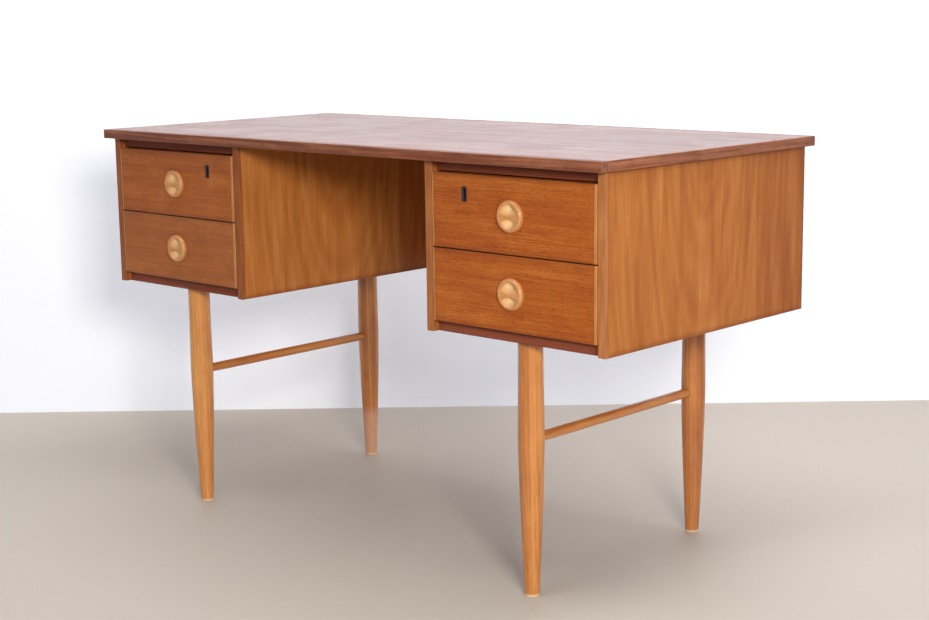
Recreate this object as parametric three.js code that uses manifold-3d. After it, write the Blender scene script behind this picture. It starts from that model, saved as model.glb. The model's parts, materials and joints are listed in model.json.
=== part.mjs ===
// Writing desk with two hanging pedestals, each holding two drawers, on turned legs.
// Millimetres, +Z up. The origin is on the floor under the middle of the top.
// +X is the sitter's right, -Y is the side that the drawers open to.

import * as THREE from "three";
import { mergeVertices } from "three/addons/utils/BufferGeometryUtils.js";
import Module from "manifold-3d";

const wasm = await Module();
wasm.setup();

// Whole desk
const deskWidth = 1220;
const deskDepth = 585;
const deskHeight = 720;

// Top: a veneered core with a solid strip along each edge
const topThickness = 16.5;
const frontLippingDepth = 17;
const backLippingDepth = 17;
const sideLippingWidth = 6;
const sideOverhang = 8;
const frontOverhang = 19.5;
const backOverhang = 18.5;

// Pedestals
const pedestalWidth = 369;
const panelThickness = 15;
const bottomBoardThickness = 17;
const topRailThickness = 17;
const topRailDepth = 60;
const railRecess = 12;
const backThickness = 9;
const backRecess = 3;
const modestyThickness = 15;
const modestyRecess = 3;

// Drawers
const lowerFrontHeight = 120;
const upperFrontHeight = 120;
const frontThickness = 18;
const frontProud = 1.5;
const frontGap = 2;
const frontSideGap = 1.5;
const drawerSideGap = 2;
const drawerSideThickness = 12;
const drawerBackThickness = 10;
const drawerBottomThickness = 4;
const drawerSideRise = 5;
const drawerSideDrop = 12;
const drawerBackDrop = 6;
const drawerRearSpace = 12;
const bottomGrooveRise = 8;
const bottomGrooveDepth = 5;

// Runners that the drawers slide on, fixed to the pedestal sides
const runnerHeight = 10;
const runnerThickness = 8;
const runnerPlay = 0.5;

// Clearance where one piece is let into another
const fitGap = 0.3;

// Round pulls: a turned disc with two scoops, let into the drawer front
const knobDiameter = 51;
const knobProud = 7;
const knobEdgeRound = 4;
const knobRimWidth = 3.5;
const knobDish = 1.2;
const knobSpigotDiameter = 38;
const knobSpigotLength = 8;
const scoopHalfWidth = 16.5;
const scoopHalfHeight = 8;
const scoopDepth = 8;
const bridgeWidth = 3.5;

// Locks on the upper drawers
const keyholeOffset = 97;
const keyholeDrop = 31.5;
const keyPlateWidth = 11.5;
const keyPlateHeight = 24.5;
const keyPlateCorner = 3.5;
const keyPlateThickness = 5;
const keySlotWidth = 5;
const keySlotHeight = 17;
const keyPassageClearance = 0.5;
const keywayDepth = 5;
const lockCaseWidth = 34;
const lockCaseDepth = 9;
const lockCaseBelowKey = 18;
const lockCaseTopGap = 1;
const lockBoltWidth = 12;
const lockBoltThickness = 4;
const lockBoltAboveKey = 11;
const lockBoltTopGap = 0.5;
const lockBoltTravel = 8;
const mortiseClearance = 1.5;
const mortiseEndClearance = 2;

// Legs and stretchers
const footDiameter = 24;
const footRound = 1.5;
const legBellyDiameter = 43.5;
const legTopDiameter = 41;
const legTaperPower = 1.45;
const legBellyDrop = 148;
const frontLegInset = 44;
const rearLegInset = 56;
const legTenonDiameter = 25;
const legTenonLength = 12;
const stretcherDiameter = 17;
const stretcherDrop = 162;
const stretcherTenonLength = 15;

// Smoothness of round pieces
const legSegments = 28;
const legRings = 9;
const stretcherSegments = 16;
const knobSegments = 36;
const roundSteps = 4;
const scoopSegments = 20;
const scoopRings = 12;
const overcut = 5;

// Faces that meet are put on one fine grid, so pieces touch without cutting into each other.
const onGrid = (size) => Math.round(size * 64) / 64;

// Heights worked out from the sizes above
const topUnderside = deskHeight - topThickness;
const frontsHeight = lowerFrontHeight + upperFrontHeight + 3 * frontGap;
const pedestalHeight = bottomBoardThickness + frontsHeight + topRailThickness;
const legLength = onGrid(topUnderside - pedestalHeight);
const bottomBoardTop = legLength + bottomBoardThickness;
const topRailUnderside = topUnderside - topRailThickness;
const stretcherHeight = legLength - stretcherDrop;
const legBellyHeight = legLength - legBellyDrop;
const lowerFrontZ = [bottomBoardTop + frontGap, bottomBoardTop + frontGap + lowerFrontHeight];
const upperFrontZ = [lowerFrontZ[1] + frontGap, lowerFrontZ[1] + frontGap + upperFrontHeight];

// Places from front to back
const topFront = -deskDepth / 2;
const topBack = deskDepth / 2;
const pedestalFront = topFront + frontOverhang;
const pedestalBack = topBack - backOverhang;
const backPanelY = [pedestalBack - backRecess - backThickness, pedestalBack - backRecess];
const modestyY = [pedestalBack - modestyRecess - modestyThickness, pedestalBack - modestyRecess];
const frontFace = pedestalFront - frontProud;
const frontRear = frontFace + frontThickness;
const drawerRear = backPanelY[0] - drawerRearSpace;
const frontLegY = pedestalFront + frontLegInset;
const rearLegY = pedestalBack - rearLegInset;

// Places across a pedestal, measured outward from the pedestal's own middle
const pedestalCentre = deskWidth / 2 - sideOverhang - pedestalWidth / 2;
const sideFace = pedestalWidth / 2;
const cavityHalf = sideFace - panelThickness;
const drawerHalf = cavityHalf - drawerSideGap;
const drawerInnerHalf = drawerHalf - drawerSideThickness;

const finishes = {
  teakTop: { color: 0x8a5040, roughness: 0.35 },
  teakLipping: { color: 0x874e3c, roughness: 0.45 },
  teakSide: { color: 0xb8733a, roughness: 0.5 },
  teakFront: { color: 0xac5826, roughness: 0.45 },
  teakRail: { color: 0x6e3a2a, roughness: 0.55 },
  beech: { color: 0xdc9b55, roughness: 0.4 },
  knobBeech: { color: 0xdea069, roughness: 0.4 },
  drawerBeech: { color: 0xc9a273, roughness: 0.6 },
  plywood: { color: 0xb98a58, roughness: 0.65 },
  keyPlate: { color: 0x28231e, roughness: 0.5 },
  lockCase: { color: 0x9a8a5c, roughness: 0.4, metalness: 0.9 },
  lockBolt: { color: 0xb39a55, roughness: 0.3, metalness: 1 },
};

function addPiece(group, name, finish, geometry) {
  const mesh = new THREE.Mesh(geometry, new THREE.MeshStandardMaterial(finishes[finish]));
  mesh.name = name;
  group.add(mesh);
  return mesh;
}

// A box between two corners, given as [low, high] along each axis.
function boxBetween(x, y, z) {
  const low = [x[0], y[0], z[0]].map(onGrid);
  const high = [x[1], y[1], z[1]].map(onGrid);
  const box = new THREE.BoxGeometry(high[0] - low[0], high[1] - low[1], high[2] - low[2]);
  box.translate((low[0] + high[0]) / 2, (low[1] + high[1]) / 2, (low[2] + high[2]) / 2);
  return box;
}

function toSolid(geometry) {
  const bare = geometry.clone();
  bare.deleteAttribute("normal");
  bare.deleteAttribute("uv");
  const merged = mergeVertices(bare);
  const corners = merged.index.array;
  const triVerts = [];
  for (let i = 0; i < corners.length; i += 3) {
    const [a, b, c] = corners.slice(i, i + 3);
    if (a !== b && b !== c && c !== a) {
      triVerts.push(a, b, c);
    }
  }
  return new wasm.Manifold(new wasm.Mesh({
    numProp: 3,
    vertProperties: new Float32Array(merged.attributes.position.array),
    triVerts: new Uint32Array(triVerts),
  }));
}

function toGeometry(solid) {
  const mesh = solid.getMesh();
  const geometry = new THREE.BufferGeometry();
  geometry.setAttribute("position", new THREE.BufferAttribute(mesh.vertProperties, 3));
  geometry.setIndex(new THREE.BufferAttribute(mesh.triVerts, 1));
  geometry.computeVertexNormals();
  return geometry;
}

function cut(body, ...cutters) {
  let solid = toSolid(body);
  for (const cutter of cutters) {
    solid = solid.subtract(toSolid(cutter));
  }
  return toGeometry(solid);
}

// A range across a pedestal, given outward from its middle and turned over on the left.
const across = (side, from, to) => (side > 0 ? [from, to] : [-to, -from]);

// A round bar along Y.
function barAlongY(diameter, y, x, z, segments) {
  const bar = new THREE.CylinderGeometry(diameter / 2, diameter / 2, y[1] - y[0], segments);
  bar.translate(x, (y[0] + y[1]) / 2, 0);
  return bar.translate(0, 0, z);
}

// An upright rounded plate standing in the XZ plane, from y[0] to y[1].
function roundedPlate(width, height, corner, y, x, z) {
  const halfWidth = width / 2 - corner;
  const halfHeight = height / 2 - corner;
  const outline = new THREE.Shape();
  outline.absarc(halfWidth, halfHeight, corner, 0, Math.PI / 2);
  outline.absarc(-halfWidth, halfHeight, corner, Math.PI / 2, Math.PI);
  outline.absarc(-halfWidth, -halfHeight, corner, Math.PI, 1.5 * Math.PI);
  outline.absarc(halfWidth, -halfHeight, corner, 1.5 * Math.PI, 2 * Math.PI);
  const plate = new THREE.ExtrudeGeometry(outline, {
    depth: y[1] - y[0],
    bevelEnabled: false,
    curveSegments: roundSteps,
  });
  plate.rotateX(Math.PI / 2);
  return plate.translate(x, y[1], z);
}

// The cutter for a keyhole: a slot with round ends, wider than the key's own slot by the clearance.
function keySlot(clearance, y, x, z) {
  const width = keySlotWidth + 2 * clearance;
  return roundedPlate(width, keySlotHeight + 2 * clearance, width / 2, y, x, z);
}

function buildTop(desk) {
  const z = [topUnderside, deskHeight];
  const fullX = [-deskWidth / 2, deskWidth / 2];
  const coreX = [fullX[0] + sideLippingWidth, fullX[1] - sideLippingWidth];
  const coreY = [topFront + frontLippingDepth, topBack - backLippingDepth];
  addPiece(desk, "top_panel", "teakTop", boxBetween(coreX, coreY, z));
  const frontY = [topFront, coreY[0]];
  const backY = [coreY[1], topBack];
  addPiece(desk, "top_front_lipping", "teakLipping", boxBetween(fullX, frontY, z));
  addPiece(desk, "top_back_lipping", "teakLipping", boxBetween(fullX, backY, z));
  addPiece(desk, "top_left_lipping", "teakLipping", boxBetween([fullX[0], coreX[0]], coreY, z));
  addPiece(desk, "top_right_lipping", "teakLipping", boxBetween([coreX[1], fullX[1]], coreY, z));
}

function buildModestyPanel(desk) {
  const halfKneehole = pedestalCentre - pedestalWidth / 2;
  const panel = boxBetween([-halfKneehole, halfKneehole], modestyY, [legLength, topUnderside]);
  addPiece(desk, "modesty_panel", "teakSide", panel);
}

function buildCarcass(pedestal, side, word) {
  const panelY = [pedestalFront, pedestalBack];
  const panelZ = [legLength, topUnderside];
  const innerX = across(side, -sideFace, -cavityHalf);
  const outerX = across(side, cavityHalf, sideFace);
  const cavityX = [-cavityHalf, cavityHalf];
  addPiece(pedestal, `${word}_inner_side`, "teakSide", boxBetween(innerX, panelY, panelZ));
  addPiece(pedestal, `${word}_outer_side`, "teakSide", boxBetween(outerX, panelY, panelZ));
  addPiece(pedestal, `${word}_back_panel`, "teakSide", boxBetween(cavityX, backPanelY, panelZ));
  addPiece(pedestal, `${word}_bottom_board`, "teakRail", bottomBoard());
  addPiece(pedestal, `${word}_top_rail`, "teakRail", topRail(side));
}

// The bottom board takes the turned tenons of the two legs in blind holes.
function bottomBoard() {
  const y = [pedestalFront + railRecess, backPanelY[0]];
  const board = boxBetween([-cavityHalf, cavityHalf], y, [legLength, bottomBoardTop]);
  const holeRadius = legTenonDiameter / 2 + fitGap;
  const holeDepth = legTenonLength + fitGap;
  const holes = [frontLegY, rearLegY].map((legY) => {
    const hole = new THREE.CylinderGeometry(holeRadius, holeRadius, holeDepth + overcut, legSegments);
    hole.rotateX(Math.PI / 2);
    return hole.translate(0, legY, legLength + (holeDepth - overcut) / 2);
  });
  return cut(board, ...holes);
}

// The rail over the drawers, with the mortise that the lock bolt rises into.
function topRail(side) {
  const y = [pedestalFront + railRecess, pedestalFront + railRecess + topRailDepth];
  const rail = boxBetween([-cavityHalf, cavityHalf], y, [topRailUnderside, topUnderside]);
  const x = -side * keyholeOffset;
  const halfWidth = lockBoltWidth / 2 + mortiseClearance;
  const boltY = lockBoltY();
  const mortise = boxBetween(
    [x - halfWidth, x + halfWidth],
    [boltY[0] - mortiseClearance, boltY[1] + mortiseClearance],
    [topRailUnderside - overcut, lockBoltTop() + lockBoltTravel + mortiseEndClearance],
  );
  return cut(rail, mortise);
}

const lockCaseTop = () => upperFrontZ[1] - lockCaseTopGap;
const lockBoltTop = () => lockCaseTop() - lockBoltTopGap;

function lockBoltY() {
  const middle = frontRear + lockCaseDepth / 2;
  return [middle - lockBoltThickness / 2, middle + lockBoltThickness / 2];
}

// The height band of a drawer's sides, and of the runner at their middle.
const drawerSideZ = (frontZ) => [frontZ[0] + drawerSideRise, frontZ[1] - drawerSideDrop];

function runnerZ(frontZ) {
  const sideZ = drawerSideZ(frontZ);
  const middle = (sideZ[0] + sideZ[1]) / 2;
  return [middle - runnerHeight / 2, middle + runnerHeight / 2];
}

function buildRunners(pedestal, side, word, level, frontZ) {
  const y = [frontRear + fitGap, backPanelY[0]];
  const z = runnerZ(frontZ);
  const innerX = across(side, -cavityHalf, -cavityHalf + runnerThickness);
  const outerX = across(side, cavityHalf - runnerThickness, cavityHalf);
  addPiece(pedestal, `${word}_${level}_inner_runner`, "drawerBeech", boxBetween(innerX, y, z));
  addPiece(pedestal, `${word}_${level}_outer_runner`, "drawerBeech", boxBetween(outerX, y, z));
}

// The groove in a drawer's sides and front that holds its bottom.
function bottomGrooveZ(frontZ) {
  const low = drawerSideZ(frontZ)[0] + bottomGrooveRise;
  return [low, low + drawerBottomThickness + 2 * fitGap];
}

function drawerFront(frontZ, side, hasLock) {
  const halfWidth = cavityHalf - frontSideGap;
  const board = boxBetween([-halfWidth, halfWidth], [frontFace, frontRear], frontZ);
  const middleZ = (frontZ[0] + frontZ[1]) / 2;
  const knobHoleY = [frontFace - overcut, frontFace + knobSpigotLength + fitGap];
  const knobHole = barAlongY(knobSpigotDiameter + 2 * fitGap, knobHoleY, 0, middleZ, knobSegments);
  const grooveHalf = drawerInnerHalf + bottomGrooveDepth;
  const grooveY = [frontRear - bottomGrooveDepth, frontRear + overcut];
  const groove = boxBetween([-grooveHalf, grooveHalf], grooveY, bottomGrooveZ(frontZ));
  if (!hasLock) {
    return cut(board, knobHole, groove);
  }
  const keyX = -side * keyholeOffset;
  const keyZ = frontZ[1] - keyholeDrop;
  const seatY = [frontFace - overcut, frontFace + keyPlateThickness + fitGap];
  const seatWidth = keyPlateWidth + 2 * fitGap;
  const seatHeight = keyPlateHeight + 2 * fitGap;
  const seat = roundedPlate(seatWidth, seatHeight, keyPlateCorner + fitGap, seatY, keyX, keyZ);
  const passageY = [frontFace, frontRear + overcut];
  const passage = keySlot(keyPassageClearance, passageY, keyX, keyZ);
  return cut(board, knobHole, groove, seat, passage);
}

// A drawer side: grooved outside for the runner and inside for the bottom.
function drawerSide(frontZ, side) {
  const y = [frontRear, drawerRear];
  const board = boxBetween(across(side, drawerInnerHalf, drawerHalf), y, drawerSideZ(frontZ));
  const openY = [frontRear - overcut, drawerRear + overcut];
  const grooveBed = cavityHalf - runnerThickness - runnerPlay;
  const runner = runnerZ(frontZ);
  const runnerGrooveZ = [runner[0] - runnerPlay, runner[1] + fitGap];
  const runnerGroove = boxBetween(across(side, grooveBed, drawerHalf + overcut), openY, runnerGrooveZ);
  const bottomBed = drawerInnerHalf + bottomGrooveDepth;
  const bottomGrooveX = across(side, drawerInnerHalf - overcut, bottomBed);
  const bottomGroove = boxBetween(bottomGrooveX, openY, bottomGrooveZ(frontZ));
  return cut(board, runnerGroove, bottomGroove);
}

function drawerBottom(frontZ) {
  const half = drawerInnerHalf + bottomGrooveDepth - fitGap;
  const y = [frontRear - bottomGrooveDepth + fitGap, drawerRear];
  const low = bottomGrooveZ(frontZ)[0] + fitGap;
  return boxBetween([-half, half], y, [low, low + drawerBottomThickness]);
}

// The drawer's back stands on the bottom and stops short of the sides' top edges.
function drawerBack(frontZ) {
  const x = [-drawerInnerHalf, drawerInnerHalf];
  const y = [drawerRear - drawerBackThickness, drawerRear];
  return boxBetween(x, y, [bottomGrooveZ(frontZ)[1], drawerSideZ(frontZ)[1] - drawerBackDrop]);
}

// The pull's outline from the back of its spigot, round the rim and into the dish.
function knobOutline() {
  const radius = knobDiameter / 2;
  const spigot = knobSpigotDiameter / 2;
  const points = [
    new THREE.Vector2(0, -knobSpigotLength),
    new THREE.Vector2(spigot, -knobSpigotLength),
    new THREE.Vector2(spigot, fitGap),
    new THREE.Vector2(radius - knobEdgeRound / 2, fitGap),
    new THREE.Vector2(radius, fitGap + knobEdgeRound / 2),
  ];
  for (let step = 0; step <= roundSteps; step += 1) {
    const angle = (step / roundSteps) * (Math.PI / 2);
    const r = radius - knobEdgeRound * (1 - Math.cos(angle));
    points.push(new THREE.Vector2(r, knobProud - knobEdgeRound * (1 - Math.sin(angle))));
  }
  const dishRadius = radius - knobEdgeRound - knobRimWidth;
  points.push(new THREE.Vector2(dishRadius, knobProud - knobDish));
  points.push(new THREE.Vector2(0, knobProud - knobDish));
  return points;
}

function knob() {
  const disc = new THREE.LatheGeometry(knobOutline(), knobSegments);
  const scoops = [-1, 1].map((direction) => {
    const scoop = new THREE.SphereGeometry(1, scoopSegments, scoopRings);
    scoop.scale(scoopHalfWidth, scoopDepth, scoopHalfHeight);
    const offset = direction * (scoopHalfHeight + bridgeWidth / 2);
    return scoop.translate(0, knobProud - knobDish, offset);
  });
  const turned = cut(disc, ...scoops);
  return turned.rotateX(Math.PI);
}

function buildDrawer(pedestal, side, word, level, frontZ, hasLock) {
  const name = `${word}_${level}_drawer`;
  addPiece(pedestal, `${name}_front`, "teakFront", drawerFront(frontZ, side, hasLock));
  addPiece(pedestal, `${name}_inner_side`, "drawerBeech", drawerSide(frontZ, -side));
  addPiece(pedestal, `${name}_outer_side`, "drawerBeech", drawerSide(frontZ, side));
  addPiece(pedestal, `${name}_back`, "drawerBeech", drawerBack(frontZ));
  addPiece(pedestal, `${name}_bottom`, "plywood", drawerBottom(frontZ));
  const pull = addPiece(pedestal, `${name}_knob`, "knobBeech", knob());
  pull.position.set(0, frontFace, (frontZ[0] + frontZ[1]) / 2);
}

function buildLock(pedestal, side, word, frontZ) {
  const keyX = -side * keyholeOffset;
  const keyZ = frontZ[1] - keyholeDrop;
  const plateY = [frontFace, frontFace + keyPlateThickness];
  const plate = roundedPlate(keyPlateWidth, keyPlateHeight, keyPlateCorner, plateY, keyX, keyZ);
  const slotY = [frontFace - overcut, frontFace + keyPlateThickness + overcut];
  const slot = keySlot(0, slotY, keyX, keyZ);
  addPiece(pedestal, `${word}_keyhole_plate`, "keyPlate", cut(plate, slot));

  const boltX = [keyX - lockBoltWidth / 2, keyX + lockBoltWidth / 2];
  const boltY = lockBoltY();
  const boltZ = [keyZ + lockBoltAboveKey, lockBoltTop()];
  addPiece(pedestal, `${word}_lock_bolt`, "lockBolt", boxBetween(boltX, boltY, boltZ));

  const caseX = [keyX - lockCaseWidth / 2, keyX + lockCaseWidth / 2];
  const caseY = [frontRear, frontRear + lockCaseDepth];
  const block = boxBetween(caseX, caseY, [keyZ - lockCaseBelowKey, lockCaseTop()]);
  const channel = boxBetween(
    [boltX[0] - fitGap, boltX[1] + fitGap],
    [boltY[0] - fitGap, boltY[1] + fitGap],
    [boltZ[0] - fitGap, lockCaseTop() + overcut],
  );
  const keyway = keySlot(0, [frontRear - overcut, frontRear + keywayDepth], keyX, keyZ);
  addPiece(pedestal, `${word}_lock_case`, "lockCase", cut(block, channel, keyway));
}

// A leg swells from the foot to a belly by the stretcher, then draws in a little to its top.
function legRadius(height) {
  const foot = footDiameter / 2;
  const belly = legBellyDiameter / 2;
  if (height < legBellyHeight) {
    const rise = height / legBellyHeight;
    return foot + (belly - foot) * (1 - (1 - rise) ** legTaperPower);
  }
  const rise = (height - legBellyHeight) / (legLength - legBellyHeight);
  return belly - (belly - legTopDiameter / 2) * rise * (2 - rise);
}

function leg(socketDirection) {
  const points = [new THREE.Vector2(0, 0), new THREE.Vector2(footDiameter / 2 - footRound, 0)];
  for (let ring = 0; ring <= legRings; ring += 1) {
    const height = footRound + (ring / legRings) * (legLength - footRound);
    points.push(new THREE.Vector2(legRadius(height), height));
  }
  const tenon = legTenonDiameter / 2;
  points.push(new THREE.Vector2(tenon, legLength));
  points.push(new THREE.Vector2(tenon, legLength + legTenonLength));
  points.push(new THREE.Vector2(0, legLength + legTenonLength));
  const turned = new THREE.LatheGeometry(points, legSegments);
  turned.rotateX(Math.PI / 2);
  const socketDepth = stretcherTenonLength + fitGap;
  const mouth = legRadius(stretcherHeight);
  const ends = [mouth - socketDepth, mouth + overcut];
  const socketY = socketDirection > 0 ? ends : [-ends[1], -ends[0]];
  const socket = barAlongY(stretcherDiameter + 2 * fitGap, socketY, 0, stretcherHeight, stretcherSegments);
  return cut(turned, socket);
}

function buildLegs(pedestal, word) {
  const frontLeg = addPiece(pedestal, `${word}_front_leg`, "beech", leg(1));
  frontLeg.position.y = frontLegY;
  const rearLeg = addPiece(pedestal, `${word}_rear_leg`, "beech", leg(-1));
  rearLeg.position.y = rearLegY;
  const reach = legRadius(stretcherHeight) - stretcherTenonLength;
  const y = [frontLegY + reach, rearLegY - reach];
  const stretcher = barAlongY(stretcherDiameter, y, 0, stretcherHeight, stretcherSegments);
  addPiece(pedestal, `${word}_stretcher`, "beech", stretcher);
}

const desk = new THREE.Group();
buildTop(desk);
buildModestyPanel(desk);
for (const [side, word] of [[-1, "left"], [1, "right"]]) {
  const pedestal = new THREE.Group();
  pedestal.position.x = side * onGrid(pedestalCentre);
  buildCarcass(pedestal, side, word);
  for (const [level, frontZ] of [["lower", lowerFrontZ], ["upper", upperFrontZ]]) {
    buildRunners(pedestal, side, word, level, frontZ);
    buildDrawer(pedestal, side, word, level, frontZ, level === "upper");
  }
  buildLock(pedestal, side, word, upperFrontZ);
  buildLegs(pedestal, word);
  desk.add(pedestal);
}

export default desk;
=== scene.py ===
import math
import random
import json
import bpy
import bmesh
import numpy as np
from mathutils import Matrix, Vector

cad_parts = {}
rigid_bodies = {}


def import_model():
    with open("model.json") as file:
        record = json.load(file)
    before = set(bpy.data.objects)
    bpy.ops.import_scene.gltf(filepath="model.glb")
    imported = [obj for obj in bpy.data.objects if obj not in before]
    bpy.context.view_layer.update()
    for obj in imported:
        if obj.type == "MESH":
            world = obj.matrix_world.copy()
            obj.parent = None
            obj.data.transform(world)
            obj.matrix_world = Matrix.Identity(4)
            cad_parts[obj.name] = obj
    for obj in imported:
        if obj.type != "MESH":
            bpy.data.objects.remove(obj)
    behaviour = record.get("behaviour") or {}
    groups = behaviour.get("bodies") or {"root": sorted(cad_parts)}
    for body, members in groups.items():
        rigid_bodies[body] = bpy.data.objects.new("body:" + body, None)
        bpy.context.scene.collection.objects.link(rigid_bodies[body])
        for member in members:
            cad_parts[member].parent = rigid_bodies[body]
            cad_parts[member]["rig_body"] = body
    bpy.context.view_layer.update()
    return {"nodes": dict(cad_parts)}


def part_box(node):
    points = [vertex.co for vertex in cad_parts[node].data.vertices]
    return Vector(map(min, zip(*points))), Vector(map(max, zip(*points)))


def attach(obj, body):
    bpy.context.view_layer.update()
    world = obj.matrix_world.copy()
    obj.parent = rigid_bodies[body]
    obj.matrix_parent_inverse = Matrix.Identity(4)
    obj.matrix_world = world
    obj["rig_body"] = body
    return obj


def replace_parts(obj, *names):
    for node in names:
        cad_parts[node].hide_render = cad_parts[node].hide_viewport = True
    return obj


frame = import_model()
nodes = frame["nodes"]
words = ("left", "right")
levels = ("lower", "upper")
scene = bpy.context.scene
print("frame loaded:", len(nodes), "pieces of the desk")


def paint(code):
    # a screen colour such as "b8733a" as the linear colour that shaders use
    parts = [int(code[i:i + 2], 16) / 255 for i in (0, 2, 4)]
    return tuple(c / 12.92 if c <= 0.04045 else ((c + 0.055) / 1.055) ** 2.4 for c in parts) + (1.0,)


def put(tree, socket, value):
    if isinstance(value, bpy.types.NodeSocket):
        tree.links.new(value, socket)
    else:
        socket.default_value = value


def addNode(tree, kind, inputs=None, **settings):
    made = tree.nodes.new(kind)
    for name, value in settings.items():
        setattr(made, name, value)
    for name, value in (inputs or {}).items():
        put(tree, made.inputs[name], value)
    return made


def calc(tree, operation, *values, clamp=False):
    made = addNode(tree, "ShaderNodeMath", operation=operation, use_clamp=clamp)
    for i, value in enumerate(values):
        put(tree, made.inputs[i], value)
    return made.outputs[0]


def plus(tree, first, second):
    return calc(tree, "ADD", first, second)


def minus(tree, first, second):
    return calc(tree, "SUBTRACT", first, second)


def times(tree, first, second):
    return calc(tree, "MULTIPLY", first, second)


def vectorCalc(tree, operation, *values):
    made = addNode(tree, "ShaderNodeVectorMath", operation=operation)
    for i, value in enumerate(values):
        put(tree, made.inputs[i], value)
    return made.outputs[0]


def split(tree, vector):
    return addNode(tree, "ShaderNodeSeparateXYZ", {"Vector": vector}).outputs


def joinXYZ(tree, x, y, z):
    return addNode(tree, "ShaderNodeCombineXYZ", {"X": x, "Y": y, "Z": z}).outputs[0]


def remap(tree, value, low, high):
    # 0 below low and 1 above high, with a soft step between them
    made = addNode(tree, "ShaderNodeMapRange", {"Value": value, "From Min": low, "From Max": high},
                   interpolation_type="SMOOTHSTEP")
    return made.outputs[0]


def cloud(tree, vector, scale, detail=2.0, roughness=0.5, distortion=0.0):
    made = addNode(tree, "ShaderNodeTexNoise", {"Vector": vector, "Scale": scale, "Detail": detail,
                                               "Roughness": roughness, "Distortion": distortion})
    return made.outputs["Fac"]


def blendColor(tree, mask, under, over, mode="MIX"):
    made = addNode(tree, "ShaderNodeMix", data_type="RGBA", blend_type=mode)
    for i, value in ((0, mask), (6, under), (7, over)):
        put(tree, made.inputs[i], value)
    return made.outputs[2]


def layColor(tree, under, mask, share, code):
    # lays a screen colour over what is there, where the mask shows, as strongly as the share says
    return blendColor(tree, times(tree, mask, share), under, paint(code))


def storedVector(tree, name):
    return addNode(tree, "ShaderNodeAttribute", attribute_name=name).outputs["Vector"]


def storedNumber(tree, name):
    return addNode(tree, "ShaderNodeAttribute", attribute_name=name).outputs["Fac"]


def startGroup(name, inputs, outputs):
    tree = bpy.data.node_groups.new(name, "ShaderNodeTree")
    for label, kind, value in inputs:
        made = tree.interface.new_socket(label, in_out="INPUT", socket_type="NodeSocket" + kind)
        if value is not None:
            made.default_value = value
    for label in outputs:
        tree.interface.new_socket(label, in_out="OUTPUT", socket_type="NodeSocketFloat")
    return tree, tree.nodes.new("NodeGroupInput").outputs, tree.nodes.new("NodeGroupOutput").inputs


def fillGroup(tree, group, inputs):
    made = addNode(tree, "ShaderNodeGroup", node_tree=group)
    for name, value in inputs.items():
        put(tree, made.inputs[name], value)
    return made.outputs


def makeGrain():
    # Place runs x along the grain, y across the face and z into the wood, in metres
    tree, given, out = startGroup("woodGrain", [
        ("Place", "Vector", None), ("Band Width", "Float", 0.03), ("Band Length", "Float", 0.8),
        ("Streak Width", "Float", 0.003), ("Streak Length", "Float", 0.2),
        ("Pore Width", "Float", 0.0005), ("Pore Length", "Float", 0.008), ("Wander", "Float", 0.01),
        ("Patch Width", "Float", 0.035), ("Patch Length", "Float", 0.07),
    ], ["Bands", "Streaks", "Pores", "Patches"])
    slow = cloud(tree, vectorCalc(tree, "MULTIPLY", given["Place"], (1.7, 6.0, 6.0)), 1.0, 1.0)
    shift = times(tree, minus(tree, slow, 0.5), given["Wander"])
    place = vectorCalc(tree, "ADD", given["Place"], joinXYZ(tree, 0.0, shift, shift))

    def stretched(length, width):
        return vectorCalc(tree, "DIVIDE", place, joinXYZ(tree, length, width, width))

    bands = cloud(tree, stretched(given["Band Length"], given["Band Width"]), 1.0, 2.5, 0.55)
    streaks = cloud(tree, stretched(given["Streak Length"], given["Streak Width"]), 1.0, 2.0, 0.6)
    pores = cloud(tree, stretched(given["Pore Length"], given["Pore Width"]), 1.0, 1.0, 0.5)
    gateWidth = times(tree, given["Streak Width"], 1.6)
    gate = cloud(tree, stretched(given["Streak Length"], gateWidth), 1.0, 1.0)
    opened = plus(tree, pores, times(tree, minus(tree, gate, 0.5), 0.35))
    put(tree, out["Bands"], remap(tree, bands, 0.3, 0.7))
    put(tree, out["Streaks"], remap(tree, streaks, 0.28, 0.72))
    put(tree, out["Pores"], remap(tree, opened, 0.57, 0.66))
    patchSize = joinXYZ(tree, given["Patch Length"], given["Patch Width"], given["Patch Width"])
    patchPlace = vectorCalc(tree, "DIVIDE", given["Place"], patchSize)
    put(tree, out["Patches"], cloud(tree, patchPlace, 1.0, 3.0, 0.55, 0.6))
    return tree


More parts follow.
